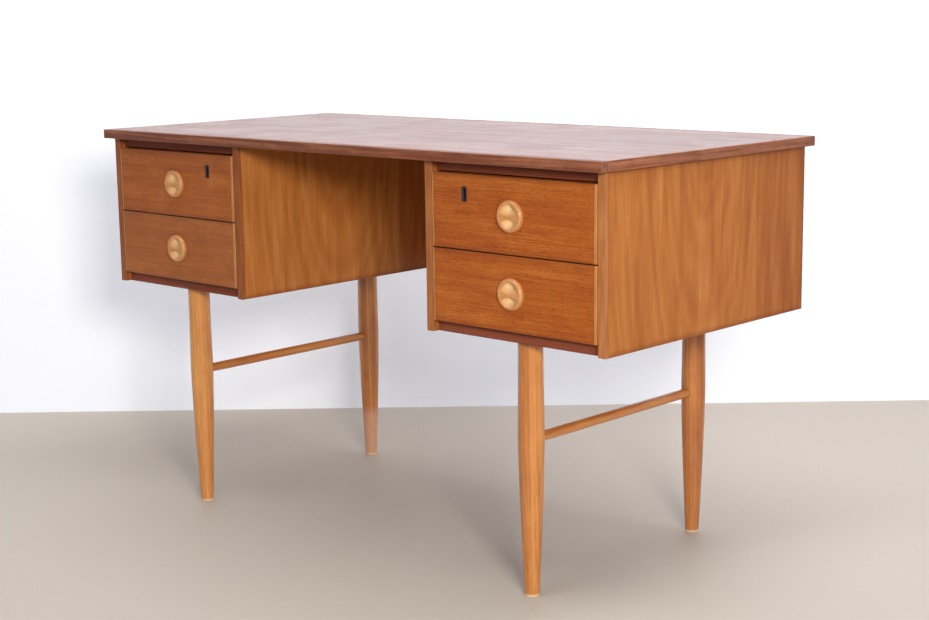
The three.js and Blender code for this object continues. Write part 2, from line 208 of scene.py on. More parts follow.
def makeRings():
    # the log's yearly rings, seen as lines, arches or ovals by the way that the wood is cut
    tree, given, out = startGroup("yearRings", [
        ("Place", "Vector", None), ("Heart", "Vector", (0.0, 0.0, 0.03)), ("Lean", "Float", 0.05),
        ("Gap", "Float", 0.008), ("Wobble", "Float", 0.006),
    ], ["Rings", "Late Wood"])
    place = vectorCalc(tree, "SUBTRACT", given["Place"], given["Heart"])
    wave = cloud(tree, vectorCalc(tree, "MULTIPLY", place, (3.0, 14.0, 14.0)), 1.0, 2.0)
    wave = times(tree, minus(tree, wave, 0.5), given["Wobble"])
    along, across, into = split(tree, place)
    across = plus(tree, across, wave)
    into = plus(tree, into, times(tree, along, given["Lean"]))
    squared = plus(tree, times(tree, across, across), times(tree, into, into))
    radius = plus(tree, calc(tree, "SQRT", squared), times(tree, wave, 0.6))
    turns = calc(tree, "DIVIDE", radius, given["Gap"])
    uneven = cloud(tree, joinXYZ(tree, turns, 0.0, 0.0), 0.45, 1.0)
    turns = plus(tree, turns, times(tree, uneven, 1.6))
    swing = calc(tree, "SINE", times(tree, turns, 2 * math.pi))
    rings = plus(tree, times(tree, swing, 0.5), 0.5)
    put(tree, out["Rings"], rings)
    put(tree, out["Late Wood"], calc(tree, "POWER", rings, 4.0))
    return tree


def makeEdgeWearAndDark():
    # From Low and From High are the distances to the piece's own six sides,
    # so the second smallest of them is the distance to an edge
    tree, given, out = startGroup("edgeWearAndDark", [
        ("From Low", "Vector", None), ("From High", "Vector", None), ("Reach", "Float", 0.002),
        ("Ragged", "Float", 0.6), ("Edge Dark Reach", "Float", 0.007),
    ], ["Worn", "Edge Dark"])
    a, b, c = split(tree, vectorCalc(tree, "MINIMUM", given["From Low"], given["From High"]))
    inner = calc(tree, "MINIMUM", calc(tree, "MAXIMUM", a, b), c)
    distance = calc(tree, "MAXIMUM", calc(tree, "MINIMUM", a, b), inner)
    chips = cloud(tree, given["From Low"], 190.0, 3.0, 0.6)
    rubbed = cloud(tree, given["From Low"], 9.0, 2.0)
    uneven = plus(tree, times(tree, chips, 0.6), times(tree, rubbed, 1.2))
    ragged = times(tree, given["Ragged"], minus(tree, uneven, 0.9))
    reach = times(tree, given["Reach"], plus(tree, 1.0, ragged))
    put(tree, out["Worn"], minus(tree, 1.0, remap(tree, distance, 0.0, reach)))
    # Edge Dark is an uneven darker band along every edge of the piece
    darkNoise = cloud(tree, given["From Low"], 7.0, 4.0, 0.6, 0.8)
    thick = plus(tree, 0.6, times(tree, darkNoise, 0.4))
    near = minus(tree, 1.0, remap(tree, distance, 0.0, given["Edge Dark Reach"]))
    put(tree, out["Edge Dark"], times(tree, near, thick))
    return tree


def makeHandling():
    # soft smears from hands and cloths, fine dust specks, and hairline scratches
    tree, given, out = startGroup("handling", [
        ("Place", "Vector", None), ("Smear Size", "Float", 0.15), ("Scratch Length", "Float", 0.05),
    ], ["Smears", "Specks", "Scratches"])
    smearSize = joinXYZ(tree, given["Smear Size"], given["Smear Size"], given["Smear Size"])
    smears = cloud(tree, vectorCalc(tree, "DIVIDE", given["Place"], smearSize), 1.0, 4.0, 0.6, 0.8)
    specks = cloud(tree, given["Place"], 900.0, 1.0)
    x, y, z = split(tree, given["Place"])
    slant = joinXYZ(tree, plus(tree, x, times(tree, y, 0.7)), y, z)
    thin = times(tree, given["Scratch Length"], 0.012)
    scratchSize = joinXYZ(tree, given["Scratch Length"], thin, thin)
    lines = cloud(tree, vectorCalc(tree, "DIVIDE", slant, scratchSize), 1.0, 1.0, 0.4)
    put(tree, out["Smears"], remap(tree, smears, 0.35, 0.68))
    put(tree, out["Specks"], remap(tree, specks, 0.68, 0.78))
    put(tree, out["Scratches"], remap(tree, lines, 0.7, 0.76))
    return tree


def makeStrip():
    # a solid strip along an edge, its own fine strand, and the glue line where it meets the veneer
    tree, given, out = startGroup("solidStrip", [
        ("Place", "Vector", None), ("From Edge", "Float", 0.0), ("Width", "Float", 0.005),
    ], ["Strip", "Strand", "Joint"])
    put(tree, out["Strip"], calc(tree, "LESS_THAN", given["From Edge"], given["Width"]))
    strand = cloud(tree, vectorCalc(tree, "MULTIPLY", given["Place"], (280.0, 280.0, 13.0)), 1.0, 2.0)
    put(tree, out["Strand"], remap(tree, strand, 0.3, 0.7))
    off = calc(tree, "ABSOLUTE", minus(tree, given["From Edge"], given["Width"]))
    put(tree, out["Joint"], minus(tree, 1.0, remap(tree, off, 0.0001, 0.0004)))
    return tree


def makeBrushing():
    # fine parallel lines left by rolling and brushing the metal
    tree, given, out = startGroup("metalBrushing", [("Place", "Vector", None)], ["Lines"])
    stretched = vectorCalc(tree, "MULTIPLY", given["Place"], (120.0, 4200.0, 4200.0))
    put(tree, out["Lines"], cloud(tree, stretched, 1.0, 2.0))
    return tree


def makeStageGrit():
    # slow unevenness and fine grit of the painted floor and wall
    tree, given, out = startGroup("stageGrit", [("Place", "Vector", None)], ["Uneven", "Grit"])
    put(tree, out["Uneven"], cloud(tree, given["Place"], 1.3, 3.0))
    put(tree, out["Grit"], cloud(tree, given["Place"], 260.0, 2.0))
    return tree


woodGrain = makeGrain()
yearRings = makeRings()
edgeWearAndDark = makeEdgeWearAndDark()
handling = makeHandling()
solidStrip = makeStrip()
metalBrushing = makeBrushing()
stageGrit = makeStageGrit()
print("shared effects ready")


def startMaterial(name):
    material = bpy.data.materials.new(name)
    material.use_nodes = True
    tree = material.node_tree
    tree.nodes.clear()
    shader = addNode(tree, "ShaderNodeBsdfPrincipled")
    output = addNode(tree, "ShaderNodeOutputMaterial")
    tree.links.new(shader.outputs[0], output.inputs["Surface"])
    return material, tree, shader


def roughen(tree, shader, height, distance, strength):
    made = addNode(tree, "ShaderNodeBump", {"Height": height, "Distance": distance, "Strength": strength})
    put(tree, shader.inputs["Normal"], made.outputs[0])


def placeWear(tree, look):
    fromLow = storedVector(tree, "fromLow")
    fromHigh = storedVector(tree, "fromHigh")
    wear = fillGroup(tree, edgeWearAndDark, {
        "From Low": fromLow, "From High": fromHigh, "Reach": look["wearReach"],
        "Ragged": look["ragged"], "Edge Dark Reach": look["edgeDarkReach"],
    })
    return fromLow, fromHigh, wear


def placeMarks(tree, place, look):
    return fillGroup(tree, handling, {"Place": place, "Smear Size": look["smearSize"],
                                      "Scratch Length": look["scratchLength"]})


# what every wood starts from: sizes in metres, shares from 0 to 1, colours as screen codes
baseWood = {
    "dark": "6f3a1c", "middle": "a8602c", "light": "c98548", "darkAt": 0.12, "lightAt": 0.88,
    "pore": "4a2412", "endGrain": "7a4a2a", "worn": "d9a468", "edgeDark": "6a3018",
    "bandWidth": 0.028, "bandLength": 0.9, "streakWidth": 0.0032, "streakLength": 0.22,
    "poreWidth": 0.00055, "poreLength": 0.009, "wander": 0.02,
    "heart": (0.0, 0.0, 0.02), "lean": 0.04, "ringGap": 0.012, "wobble": 0.012,
    "bandShare": 0.26, "streakShare": 0.14, "ringShare": 0.08, "poreDepth": 0.3,
    "patchShare": 0.0, "patchSize": (0.07, 0.035), "endShare": 0.75, "endRings": 0.35,
    "roughness": 0.42, "smearShare": 0.1, "poreRoughness": 0.12, "endRoughness": 0.15,
    "shine": 0.3, "ior": 1.48, "coat": 0.0, "coatRoughness": 0.25, "grainBump": 0.00006, "bumpStrength": 0.8,
    "wearReach": 0.0012, "ragged": 0.6, "wearShare": 0.3, "edgeDarkReach": 0.007, "edgeDarkShare": 0.0,
    "smearSize": 0.15, "scratchLength": 0.05, "scratchShare": 0.0,
}


def woodFinish(name, look, overlay=None):
    # overlay is a function that lays a joint, a strip or a stain over the grain's colour
    look = {**baseWood, **look}
    material, tree, shader = startMaterial(name)
    place = storedVector(tree, "woodPlace")
    tone = storedNumber(tree, "tone")
    endFace = storedNumber(tree, "endFace")
    grain = fillGroup(tree, woodGrain, {
        "Place": place, "Band Width": look["bandWidth"], "Band Length": look["bandLength"],
        "Streak Width": look["streakWidth"], "Streak Length": look["streakLength"],
        "Pore Width": look["poreWidth"], "Pore Length": look["poreLength"], "Wander": look["wander"],
        "Patch Length": look["patchSize"][0], "Patch Width": look["patchSize"][1],
    })
    rings = fillGroup(tree, yearRings, {
        "Place": storedVector(tree, "ringPlace"), "Heart": look["heart"], "Lean": look["lean"],
        "Gap": look["ringGap"], "Wobble": look["wobble"],
    })
    fromLow, fromHigh, wear = placeWear(tree, look)
    marks = placeMarks(tree, place, look)
    # broad bands, fine streaks and rings make one tone from dark to light
    mixed = plus(tree, 0.5, tone)
    for figure, share in ((grain["Bands"], "bandShare"), (grain["Streaks"], "streakShare"),
                          (grain["Patches"], "patchShare"), (rings["Rings"], "ringShare")):
        swing = times(tree, minus(tree, figure, 0.5), look[share])
        mixed = plus(tree, mixed, swing)
    ramp = addNode(tree, "ShaderNodeValToRGB", {"Fac": mixed})
    stops = ramp.color_ramp.elements
    stops[0].position, stops[0].color = look["darkAt"], paint(look["dark"])
    stops[1].position, stops[1].color = look["lightAt"], paint(look["light"])
    middle = stops.new(0.5)
    middle.color = paint(look["middle"])
    color = ramp.outputs["Color"]
    color = layColor(tree, color, grain["Pores"], look["poreDepth"], look["pore"])
    color = layColor(tree, color, endFace, look["endShare"], look["endGrain"])
    ringLines = times(tree, endFace, rings["Late Wood"])
    color = layColor(tree, color, ringLines, look["endRings"], look["pore"])
    # the wood is darker in an uneven band near its edges, and the very corners are rubbed
    color = layColor(tree, color, wear["Edge Dark"], look["edgeDarkShare"], look["edgeDark"])
    color = layColor(tree, color, wear["Worn"], look["wearShare"], look["worn"])
    if overlay:
        color = overlay(tree, color, fromLow, fromHigh)
    put(tree, shader.inputs["Base Color"], color)
    rough = plus(tree, look["roughness"], times(tree, marks["Smears"], look["smearShare"]))
    rough = plus(tree, rough, times(tree, grain["Pores"], look["poreRoughness"]))
    rough = plus(tree, rough, times(tree, endFace, look["endRoughness"]))
    rough = calc(tree, "ADD", rough, times(tree, marks["Scratches"], look["scratchShare"]), clamp=True)
    put(tree, shader.inputs["Roughness"], rough)
    shader.inputs["Coat Weight"].default_value = look["coat"]
    shader.inputs["Coat Roughness"].default_value = look["coatRoughness"]
    shader.inputs["Specular IOR Level"].default_value = look["shine"]
    shader.inputs["IOR"].default_value = look["ior"]
    height = minus(tree, times(tree, grain["Streaks"], 0.5), grain["Pores"])
    height = minus(tree, height, times(tree, marks["Scratches"], look["scratchShare"] * 2))
    roughen(tree, shader, height, look["grainBump"], look["bumpStrength"])
    return material


# the desk top: long veneer under a satin lacquer
topTeakLook = {
    "dark": "5c2c20", "middle": "84503c", "light": "a8745a", "pore": "3c1c14", "worn": "b98a6c",
    "bandWidth": 0.032, "bandLength": 1.6, "streakWidth": 0.004, "streakLength": 0.5, "wander": 0.03,
    "ringShare": 0.08, "ringGap": 0.02, "lean": 0.02, "roughness": 0.34, "smearShare": 0.12,
    "shine": 0.5, "coat": 0.45, "coatRoughness": 0.26, "wearShare": 0.35, "scratchShare": 0.06,
    "bandShare": 0.3, "streakShare": 0.2, "patchShare": 0.2, "patchSize": (0.25, 0.06),
}
lippingTeakLook = {
    "dark": "5c2e1c", "middle": "7a422a", "light": "aa6e50",
    "pore": "3c1a10", "endGrain": "8a5844", "worn": "a8704e",
    "bandWidth": 0.006, "bandLength": 0.7, "streakWidth": 0.0016, "streakLength": 0.12, "ringShare": 0.1,
    "wearShare": 0.4, "shine": 0.4, "coat": 0.05, "patchShare": 0.5, "patchSize": (0.05, 0.02),
}
sideTeakLook = {
    "dark": "8e4c1e", "middle": "b06a2e", "light": "c8864a", "pore": "6a3816", "worn": "c08850",
    "bandWidth": 0.03, "bandLength": 0.7, "streakWidth": 0.0035, "streakLength": 0.16, "wander": 0.03,
    "heart": (0.10, -0.02, 0.05), "lean": 0.28, "ringGap": 0.02, "wobble": 0.02,
    "bandShare": 0.13, "streakShare": 0.12, "ringShare": 0.1, "poreDepth": 0.25, "roughness": 0.45,
    "shine": 0.3, "patchShare": 0.75, "patchSize": (0.2, 0.032), "edgeDarkShare": 0.6, "edgeDarkReach": 0.012,
}
frontTeakLook = {
    "dark": "90441a", "middle": "aa581e", "light": "c07230", "pore": "542410", "worn": "c8864c",
    "bandWidth": 0.016, "bandLength": 0.5, "streakWidth": 0.0016, "streakLength": 0.09, "wander": 0.008,
    "bandShare": 0.24, "streakShare": 0.3, "ringShare": 0.04, "poreDepth": 0.5, "poreLength": 0.009,
    "poreWidth": 0.0007, "roughness": 0.42, "shine": 0.22, "patchShare": 0.5, "patchSize": (0.05, 0.03),
    "edgeDarkShare": 0.45, "edgeDarkReach": 0.009,
}
railTeakLook = {
    "dark": "5c2a1c", "middle": "82422c", "light": "9c583e",
    "pore": "2a120c", "endGrain": "4c2a1e", "worn": "8a5238",
    "bandWidth": 0.01, "streakWidth": 0.002, "roughness": 0.55, "shine": 0.25,
}
legBeechLook = {
    "dark": "9c5020", "middle": "ce8640", "light": "ebb266",
    "pore": "8e5426", "endGrain": "b98a58", "worn": "ecd0a4",
    "bandWidth": 0.012, "bandLength": 0.5, "streakWidth": 0.0014, "streakLength": 0.05,
    "poreWidth": 0.0006, "poreLength": 0.0028, "poreDepth": 0.3, "heart": (0.0, 0.06, 0.02), "lean": 0.02,
    "ringGap": 0.007, "wobble": 0.006, "bandShare": 0.16, "streakShare": 0.14, "ringShare": 0.08,
    "roughness": 0.3, "shine": 0.5, "coat": 0.6, "coatRoughness": 0.1, "wearShare": 0.0,
    "patchShare": 0.4, "patchSize": (0.09, 0.03),
}
knobBeechLook = {
    **legBeechLook, "dark": "b47440", "middle": "ca8a50", "light": "dea670", "pore": "9c6434",
    "heart": (0.0, 0.05, 0.02), "ringGap": 0.005, "patchShare": 0.2,
    "roughness": 0.32, "coat": 0.3, "coatRoughness": 0.14,
}
drawerBeechLook = {
    "dark": "a87c4c", "middle": "c8a070", "light": "dcbc90",
    "pore": "86603a", "endGrain": "a8784a", "worn": "e0c8a0",
    "bandWidth": 0.014, "bandLength": 0.5, "streakWidth": 0.0018, "streakLength": 0.08,
    "poreWidth": 0.0005, "poreLength": 0.003, "ringShare": 0.15, "roughness": 0.58,
}
plywoodLook = {
    "dark": "9a7044", "middle": "ba9060", "light": "d0aa78",
    "pore": "7a5430", "endGrain": "8a6038", "worn": "d4b68a",
    "bandWidth": 0.05, "bandLength": 0.5, "streakWidth": 0.003, "streakLength": 0.1, "ringShare": 0.25,
    "heart": (0.0, 0.0, 0.01), "lean": 0.1, "ringGap": 0.012, "roughness": 0.62,
}


# dull is the colour of a painted pale haze, a painted reflection, laid over the left drawer fronts
frontStripLook = {
    "width": 0.0045, "dark": "a86430", "light": "c88850", "joint": "5a2c16", "jointShare": 0.6,
    "dull": "a07a58", "hazeShare": 0.4,
}


def frontStrips(tree, under, fromLow, fromHigh):
    # the solid strip along both ends of a drawer front, a paler upright band with a fine joint line
    look = frontStripLook
    nearest = calc(tree, "MINIMUM", split(tree, fromLow)[0], split(tree, fromHigh)[0])
    strip = fillGroup(tree, solidStrip, {"Place": fromLow, "From Edge": nearest, "Width": look["width"]})
    tint = blendColor(tree, strip["Strand"], paint(look["dark"]), paint(look["light"]))
    made = blendColor(tree, strip["Strip"], under, tint)
    made = layColor(tree, made, strip["Joint"], look["jointShare"], look["joint"])
    # a painted pale haze, a painted reflection, covers the whole front as strongly as its tintShare says
    return layColor(tree, made, storedNumber(tree, "tintShare"), look["hazeShare"], look["dull"])


sideEdgeLook = {
    "width": 0.006, "dark": "a06034", "light": "bc7e4c", "greyer": "c8a898", "share": 0.8,
    "joint": "6a3a20", "jointShare": 0.35, "thinBoard": 0.05,
    "leafFrom": 0.4035, "leafTo": 0.4045, "leafTint": "e8d2c8", "leafShare": 0.6,
}


def sideEdges(tree, under, fromLow, fromHigh):
    # the solid strip glued along the front edge of a veneered side; the thin back boards have none
    look = sideEdgeLook
    inward = split(tree, fromLow)[1]
    strip = fillGroup(tree, solidStrip, {"Place": fromLow, "From Edge": inward, "Width": look["width"]})
    deepPiece = calc(tree, "GREATER_THAN", split(tree, fromHigh)[1], look["thinBoard"])
    tint = blendColor(tree, strip["Strand"], paint(look["dark"]), paint(look["light"]))
    # the strip is greyed and darkened as strongly as the piece's tintShare says, most on the left pedestal
    greyer = blendColor(tree, 1.0, tint, paint(look["greyer"]), "MULTIPLY")
    tint = blendColor(tree, storedNumber(tree, "tintShare"), tint, greyer)
    shown = times(tree, times(tree, strip["Strip"], deepPiece), look["share"])
    made = blendColor(tree, shown, under, tint)
    made = layColor(tree, made, strip["Joint"], look["jointShare"], look["joint"])
    # the rear quarter is a second, redder leaf of veneer
    leaf = remap(tree, inward, look["leafFrom"], look["leafTo"])
    redder = blendColor(tree, 1.0, made, paint(look["leafTint"]), "MULTIPLY")
    return blendColor(tree, times(tree, leaf, look["leafShare"]), made, redder)


combLook = {
    "depth": 0.01, "finger": 0.012, "endGrain": "9a7044", "endShare": 0.5,
    "glue": "5e4024", "glueShare": 0.6, "glueHalf": 0.00025, "toothHalf": 0.018,
}


def combJoint(tree, under, fromLow, fromHigh):
    # glued fingers where a drawer's side and back meet
    look = combLook
    rear = split(tree, fromHigh)[1]
    zone = calc(tree, "LESS_THAN", rear, look["depth"])
    saw = calc(tree, "FRACT", calc(tree, "DIVIDE", split(tree, fromLow)[2], look["finger"] * 2))
    finger = times(tree, zone, calc(tree, "GREATER_THAN", saw, 0.5))
    made = layColor(tree, under, finger, look["endShare"], look["endGrain"])
    fromLine = calc(tree, "ABSOLUTE", minus(tree, rear, look["depth"]))
    fromTooth = calc(tree, "ABSOLUTE", minus(tree, saw, 0.5))
    tooth = times(tree, zone, calc(tree, "LESS_THAN", fromTooth, look["toothHalf"]))
    line = calc(tree, "MAXIMUM", calc(tree, "LESS_THAN", fromLine, look["glueHalf"]), tooth)
    return layColor(tree, made, line, look["glueShare"], look["glue"])


# clean is the pale scoop colour, partly rubbed wood and partly a painted highlight
scoopLook = {"clean": "f4dca4", "share": 0.75}


def paleScoops(tree, under, fromLow, fromHigh):
    # the scoops are paler towards their floors: partly rubbed wood, partly a painted highlight
    return layColor(tree, under, storedNumber(tree, "scooped"), scoopLook["share"], scoopLook["clean"])


footLook = {
    "bare": "e8cfae", "bareShare": 0.8, "ragged": 0.006, "bareStep": 0.0025,
    "faded": "dcb4a0", "fadedShare": 0.45, "fadedFrom": 0.085, "fadedTo": 0.115,
}


def paleFoot(tree, under, fromLow, fromHigh):
    # rubbed, bare wood at the floor; an aged leg has lost its colour further up
    look = footLook
    height = split(tree, fromLow)[2]
    uneven = minus(tree, cloud(tree, fromLow, 160.0, 3.0), 0.5)
    edge = plus(tree, storedNumber(tree, "bareFoot"), times(tree, uneven, look["ragged"]))
    bare = minus(tree, 1.0, remap(tree, height, edge, plus(tree, edge, look["bareStep"])))
    made = layColor(tree, under, bare, look["bareShare"], look["bare"])
    faded = minus(tree, 1.0, remap(tree, height, look["fadedFrom"], look["fadedTo"]))
    faded = times(tree, faded, storedNumber(tree, "tintShare"))
    return layColor(tree, made, faded, look["fadedShare"], look["faded"])


finishes = {
    "teak_top": woodFinish("topTeak", topTeakLook),
    "teak_lipping": woodFinish("lippingTeak", lippingTeakLook),
    "teak_side": woodFinish("sideTeak", sideTeakLook, sideEdges),
    "teak_front": woodFinish("frontTeak", frontTeakLook, frontStrips),
    "teak_rail": woodFinish("railTeak", railTeakLook),
    "beech_leg": woodFinish("legBeech", legBeechLook, paleFoot),
    "beech_knob": woodFinish("knobBeech", knobBeechLook, paleScoops),
    "drawer_beech": woodFinish("drawerBeech", drawerBeechLook, combJoint),
    "plywood": woodFinish("plywood", plywoodLook),
}


baseMetal = {
    "worn": "d8d0b8", "wornShare": 0.5, "wearReach": 0.0012, "ragged": 0.6, "edgeDarkReach": 0.007,
    "smearSize": 0.02, "scratchLength": 0.012, "tarnish": 0.6, "smearRoughness": 0.15,
    "brush": 0.3, "brushRoughness": 0.2, "bump": 0.00003, "bumpStrength": 0.7,
}
metalLook = {
    "lock_steel": {
        "name": "lockSteel", "clean": "a89a74", "dull": "6e6448", "roughness": 0.38, "brush": 0.5,
    },
    "lock_brass": {"name": "lockBrass", "clean": "c8a860", "dull": "80683a", "roughness": 0.32},
    "screw": {"name": "screwSteel", "clean": "b0a890", "dull": "6a6252", "roughness": 0.4},
}


def metalFinish(look):
    look = {**baseMetal, **look}
    material, tree, shader = startMaterial(look["name"])
    place = storedVector(tree, "woodPlace")
    wear = placeWear(tree, look)[2]
    marks = placeMarks(tree, place, look)
    brushed = fillGroup(tree, metalBrushing, {"Place": place})["Lines"]
    color = layColor(tree, paint(look["clean"]), marks["Smears"], look["tarnish"], look["dull"])
    color = layColor(tree, color, wear["Worn"], look["wornShare"], look["worn"])
    put(tree, shader.inputs["Base Color"], color)
    rough = plus(tree, look["roughness"], times(tree, marks["Smears"], look["smearRoughness"]))
    lines = times(tree, brushed, look["brush"] * look["brushRoughness"])
    put(tree, shader.inputs["Roughness"], calc(tree, "ADD", rough, lines, clamp=True))
    shader.inputs["Metallic"].default_value = 1.0
    height = minus(tree, times(tree, brushed, look["brush"]), marks["Scratches"])
    roughen(tree, shader, height, look["bump"], look["bumpStrength"])
    return material


keyPlateLook = {
    "body": "1a1310", "rubbed": "4a3c32", "rubbedShare": 0.7, "dusty": "3a332d", "dustyShare": 0.3,
    "wearReach": 0.0016, "ragged": 0.9, "edgeDarkReach": 0.007, "smearSize": 0.01, "scratchLength": 0.006,
    "roughness": 0.5, "smearRoughness": 0.2, "bump": 0.00004, "bumpStrength": 0.6,
}


def keyPlateFinish(look):
    material, tree, shader = startMaterial("keyPlatePlastic")
    fromLow, fromHigh, wear = placeWear(tree, look)
    marks = placeMarks(tree, fromLow, look)
    color = layColor(tree, paint(look["body"]), marks["Smears"], look["dustyShare"], look["dusty"])
    color = layColor(tree, color, wear["Worn"], look["rubbedShare"], look["rubbed"])
    put(tree, shader.inputs["Base Color"], color)
    rough = plus(tree, look["roughness"], times(tree, marks["Smears"], look["smearRoughness"]))
    put(tree, shader.inputs["Roughness"], rough)
    roughen(tree, shader, marks["Specks"], look["bump"], look["bumpStrength"])
    return material


for slotName, look in metalLook.items():
    finishes[slotName] = metalFinish(look)
finishes["key_plate"] = keyPlateFinish(keyPlateLook)
print("finishes ready:", len(finishes))


def storeVector(mesh, name, values):
    made = mesh.attributes.new(name, "FLOAT_VECTOR", "POINT")
    made.data.foreach_set("vector", np.asarray(values, np.float32).ravel())


def storeNumber(mesh, name, value):
    made = mesh.attributes.new(name, "FLOAT", "POINT")
    made.data.foreach_set("value", np.full(len(mesh.vertices), value, np.float32))


def markWood(mesh, grain, seed, tone=0.0):
    # stores what the finishes read; grain is three axes: along the grain, across the face, into the wood
    chance = random.Random(seed)
    points = np.zeros(len(mesh.vertices) * 3, np.float32)
    mesh.vertices.foreach_get("co", points)
    points = points.reshape(-1, 3)
    low, high = points.min(0), points.max(0)
    order = ["xyz".index(axis) for axis in grain]
    centred = (points - (low + high) / 2)[:, order]
    shift = np.array([chance.uniform(-3, 3) for _ in range(3)])
    storeVector(mesh, "woodPlace", centred + shift)
    storeVector(mesh, "ringPlace", centred + np.array([0.0, chance.uniform(-0.01, 0.01), 0.0]))
    storeVector(mesh, "fromLow", points - low)
    storeVector(mesh, "fromHigh", high - points)
    storeNumber(mesh, "tone", tone + chance.uniform(-0.02, 0.02))
    ends = mesh.attributes.new("endFace", "FLOAT", "FACE")
    ends.data.foreach_set("value", [1.0 if abs(f.normal[order[0]]) > 0.8 else 0.0 for f in mesh.polygons])


def showPiece(name, mesh, finish, node):
    made = bpy.data.objects.new(name, mesh)
    scene.collection.objects.link(made)
    mesh.materials.append(finishes[finish])
    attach(made, nodes[node]["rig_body"])
    return made


def standIn(node, tail, mesh, finish):
    # a piece that takes the place of its CAD node
    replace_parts(showPiece(node + tail, mesh, finish, node), node)


def closeMesh(made, name):
    mesh = bpy.data.meshes.new(name)
    made.to_mesh(mesh)
    made.free()
    return mesh


def cadCopy(node, soften):
    # the piece's own outline with its outer edges eased
    low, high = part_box(node)
    made = bmesh.new()
    made.from_mesh(nodes[node].data)
    bmesh.ops.remove_doubles(made, verts=made.verts, dist=2e-6)
    bmesh.ops.dissolve_limit(made, angle_limit=math.radians(1), verts=made.verts, edges=made.edges)

    def onSides(vertex):
        return {(axis, i) for axis in range(3) for i, corner in enumerate((low, high))
                if abs(vertex.co[axis] - corner[axis]) < 3e-6}

    outer = [e for e in made.edges if len(onSides(e.verts[0]) & onSides(e.verts[1])) >= 2]
    bmesh.ops.bevel(made, geom=outer, offset=soften, offset_type="OFFSET", segments=3,
                    profile=0.55, affect="EDGES", clamp_overlap=True)
    bmesh.ops.recalc_face_normals(made, faces=made.faces)
    return closeMesh(made, node + ".shape")


def board(node, finish, grain, soften, tone=0.0, tintShare=0.0):
    mesh = cadCopy(node, soften)
    markWood(mesh, grain, node, tone)
    storeNumber(mesh, "tintShare", tintShare)
    standIn(node, ".wood", mesh, finish)


def loftLoops(made, loops, closeStart=False, closeEnd=False):
    # joins closed rings of points, all of one count, into a skin
    rings = [[made.verts.new(p) for p in loop] for loop in loops]
    count = len(rings[0])
    for first, second in zip(rings, rings[1:]):
        for i in range(count):
            j = (i + 1) % count
            made.faces.new((first[i], first[j], second[j], second[i]))
    if closeStart:
        made.faces.new(list(reversed(rings[0])))
    if closeEnd:
        made.faces.new(rings[-1])
    return rings


def smoothMesh(made, name, sharp=math.radians(35)):
    bmesh.ops.recalc_face_normals(made, faces=made.faces)
    for face in made.faces:
        face.smooth = True
    for edge in made.edges:
        edge.smooth = not (edge.is_manifold and edge.calc_face_angle() > sharp)
    return closeMesh(made, name)


# how far each kind of edge is eased, and how much the strips on the sides' front edges are greyed and
# darkened
boardLook = {
    "panelTopEdge": 0.0002, "topEdge": 0.0008, "panelEdge": 0.0006, "drawerEdge": 0.0016,
    "insideEdge": 0.0005, "endLippingTone": 0.16, "backTone": -0.08,
    "edgeGreying": {"left_inner": 0.9, "left_outer": 0.8, "right_inner": 0.4, "right_outer": 0.0},
}

board("top_panel", "teak_top", "xyz", boardLook["panelTopEdge"])
for part in ("front", "back"):
    board(f"top_{part}_lipping", "teak_lipping", "xyz", boardLook["topEdge"])
for part in words:
    board(f"top_{part}_lipping", "teak_lipping", "yxz", boardLook["topEdge"], boardLook["endLippingTone"])
board("modesty_panel", "teak_side", "xzy", boardLook["panelEdge"])
for word in words:
    for side in ("inner", "outer"):
        tintShare = boardLook["edgeGreying"][f"{word}_{side}"]
        board(f"{word}_{side}_side", "teak_side", "zyx", boardLook["panelEdge"], tintShare=tintShare)
    board(word + "_back_panel", "teak_side", "zxy", boardLook["insideEdge"], boardLook["backTone"])
    for part in ("bottom_board", "top_rail"):
        board(f"{word}_{part}", "teak_rail", "xyz", boardLook["panelEdge"])
    for level in levels:
        for side in ("inner", "outer"):
            board(f"{word}_{level}_{side}_runner", "drawer_beech", "yzx", boardLook["insideEdge"])
print("boards made")


# tone of each drawer front, and the share of a painted pale haze, a painted reflection, laid over the left
# ones
drawerLook = {
    "left_lower": (0.02, 0.55), "left_upper": (-0.08, 0.3),
    "right_lower": (0.0, 0.0), "right_upper": (0.0, 0.0),
}

for word in words:
    for level in levels:
        drawer = f"{word}_{level}_drawer"
        toneAndHaze = drawerLook[f"{word}_{level}"]
        board(drawer + "_front", "teak_front", "xzy", boardLook["drawerEdge"], *toneAndHaze)
        for side in ("inner", "outer"):
            board(f"{drawer}_{side}_side", "drawer_beech", "yzx", boardLook["insideEdge"])
        board(drawer + "_back", "drawer_beech", "xzy", boardLook["insideEdge"])
        board(drawer + "_bottom", "plywood", "xyz", boardLook["insideEdge"])
print("drawers made")


# sizes in metres; the arches are how strongly the bridge curves, the spigot is a share of the pull's radius
pullLook = {
    "rings": 56, "spokes": 120, "rimRound": 0.0046, "dish": 0.0006, "dishFrom": 0.0035, "dishEase": 0.004,
    "scoopInset": 0.0046, "scoopSquash": 1.22, "scoopDepth": 0.0088, "scoopSoft": 0.12,
    "bridgeTop": 0.0008, "bridgeFoot": 0.0032, "upperArch": 8.0, "lowerArch": 16.0,
    "steep": 0.5, "gentle": 0.75, "spigot": 0.745,
}


